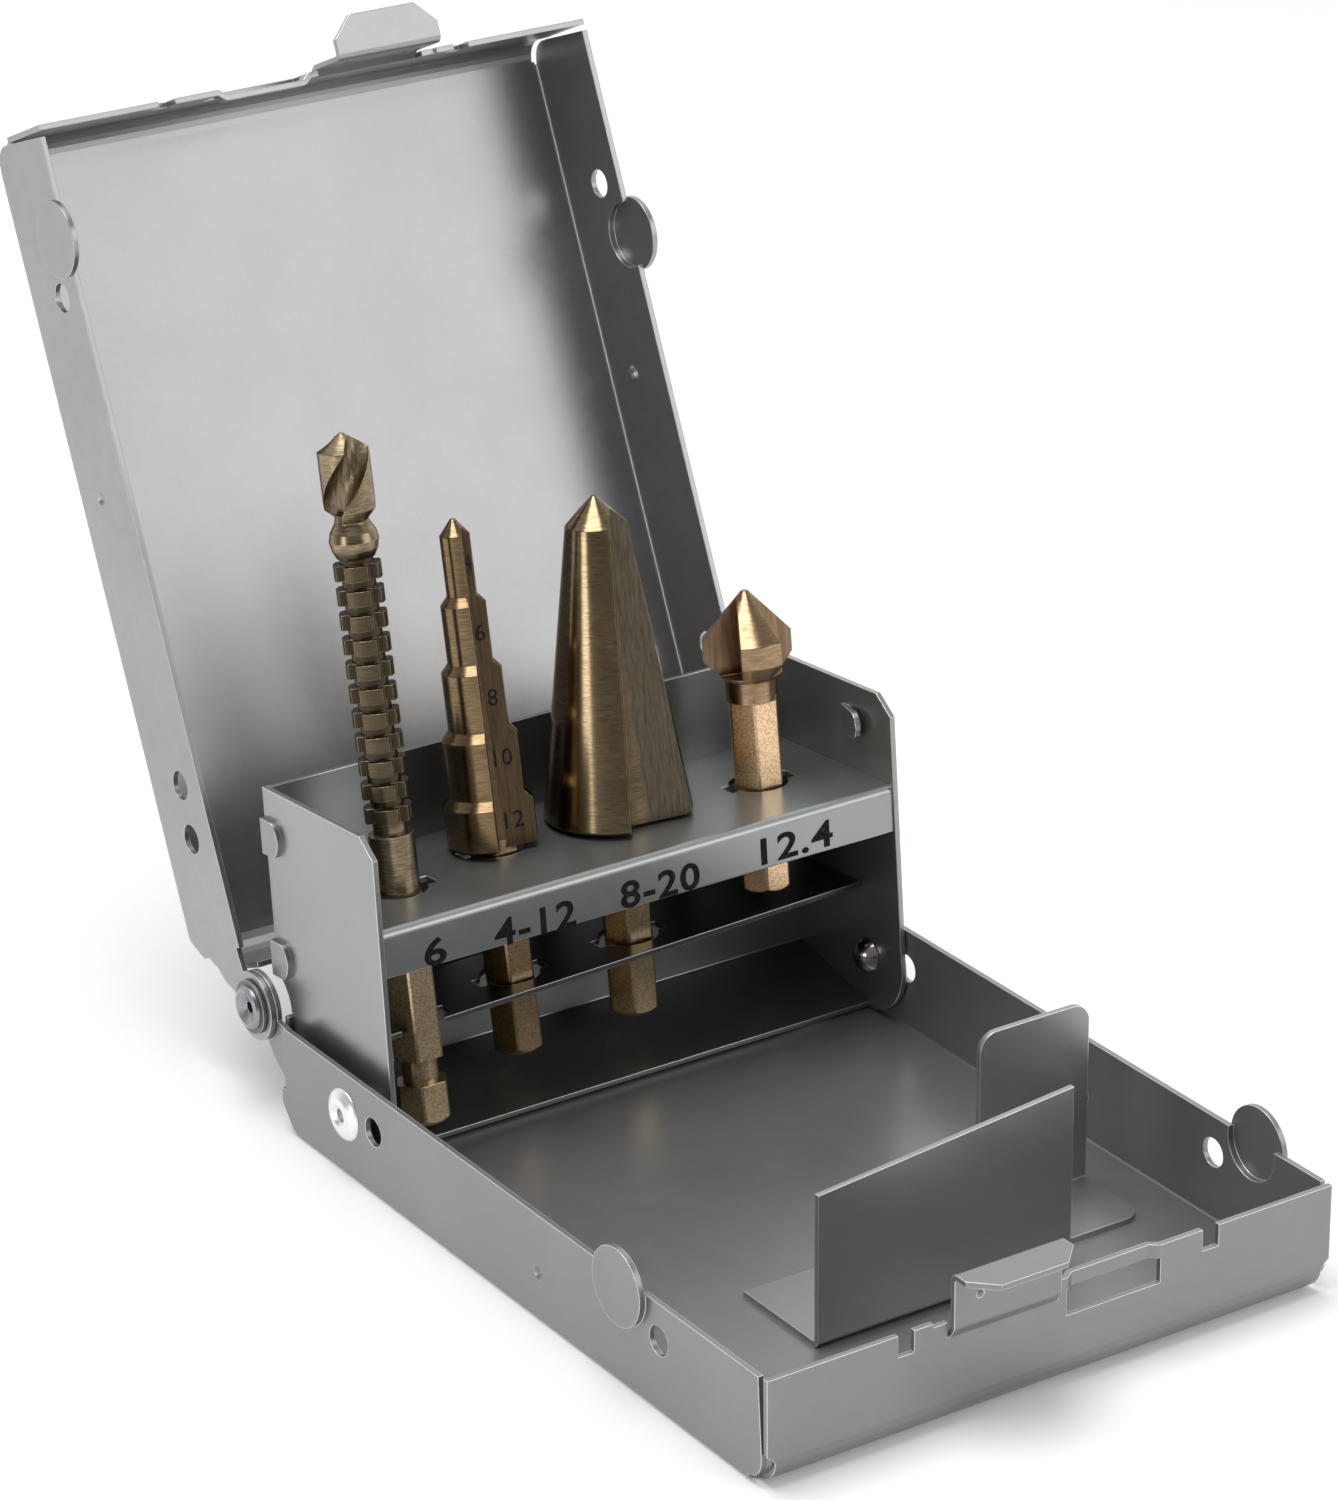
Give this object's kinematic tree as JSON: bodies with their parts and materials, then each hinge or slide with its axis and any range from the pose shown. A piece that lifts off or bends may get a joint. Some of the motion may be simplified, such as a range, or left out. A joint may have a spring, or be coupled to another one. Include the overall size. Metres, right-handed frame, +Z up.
{
  "type": "drill bit case",
  "caption": "Folded sheet steel pocket case with a hinged lid and a swing-up rack that holds hexagon shank drill bits upright.",
  "frame": {"origin": "centre of the flat underside of the base, on the surface that the case stands on", "axes": "+Z up, -Y towards the front wall with the latch tab, +X to the right seen from the front; the hinge axis is parallel to X"},
  "size_m": [0.0875, 0.1854, 0.1314],
  "materials": {
    "case_steel": "fine satin grey lacquer over sheet steel",
    "rack_steel": "fine satin grey lacquer over sheet steel",
    "hinge_steel": "rolled steel, satin",
    "rivet_aluminium": "bright satin",
    "rivet_steel": "bright drawn steel",
    "bit_bronze": "bronze coated tool steel with ground faces"
  },
  "bodies": {
    "base": {"base_shell": "case_steel", "bit_retainer": "case_steel", "hinge_eyelet_left": "hinge_steel", "hinge_eyelet_right": "hinge_steel", "hinge_washer_left": "hinge_steel", "hinge_washer_right": "hinge_steel", "pivot_rivet_left": "rivet_aluminium", "pivot_rivet_right": "rivet_aluminium", "pivot_dome_left": "rivet_steel", "pivot_dome_right": "rivet_steel", "pivot_spacer_left": "rivet_steel", "pivot_washer_right": "rivet_steel"},
    "lid": {"lid_shell": "case_steel"},
    "rack": {"rack_cheek_left": "rack_steel", "rack_cheek_right": "rack_steel", "rack_shelf": "rack_steel", "rack_back_plate": "rack_steel", "rack_lower_shelf": "rack_steel"},
    "saw_drill": {"saw_drill": "bit_bronze"},
    "step_drill": {"step_drill": "bit_bronze"},
    "cone_drill": {"cone_drill": "bit_bronze"},
    "countersink": {"countersink": "bit_bronze"}
  },
  "joints": [
    {"name": "lid_hinge", "type": "hinge", "parent": "base", "child": "lid", "pos_m": [0, 0.0622, 0.015], "axis": [-1, 0, 0], "range_deg": [-114, 0]},
    {"name": "rack_fold", "type": "hinge", "parent": "base", "child": "rack", "pos_m": [0, 0.0392, 0.0088], "axis": [-1, 0, 0], "range_deg": [-95, 0]},
    {"name": "saw_lift", "type": "slide", "parent": "rack", "child": "saw_drill", "axis": [-0.0035, 0.1719, 0.9851], "range_m": [0, 0.036]},
    {"name": "step_lift", "type": "slide", "parent": "rack", "child": "step_drill", "axis": [-0.0052, 0.1805, 0.9836], "range_m": [0, 0.03]},
    {"name": "cone_lift", "type": "slide", "parent": "rack", "child": "cone_drill", "axis": [0.0017, 0.1184, 0.993], "range_m": [0, 0.03]},
    {"name": "countersink_lift", "type": "slide", "parent": "rack", "child": "countersink", "axis": [0.0017, 0.1236, 0.9923], "range_m": [0, 0.018]}
  ],
  "couplings": [
    {"joint": "rack_fold", "follows": "lid_hinge", "ratio": 0.8333}
  ]
}
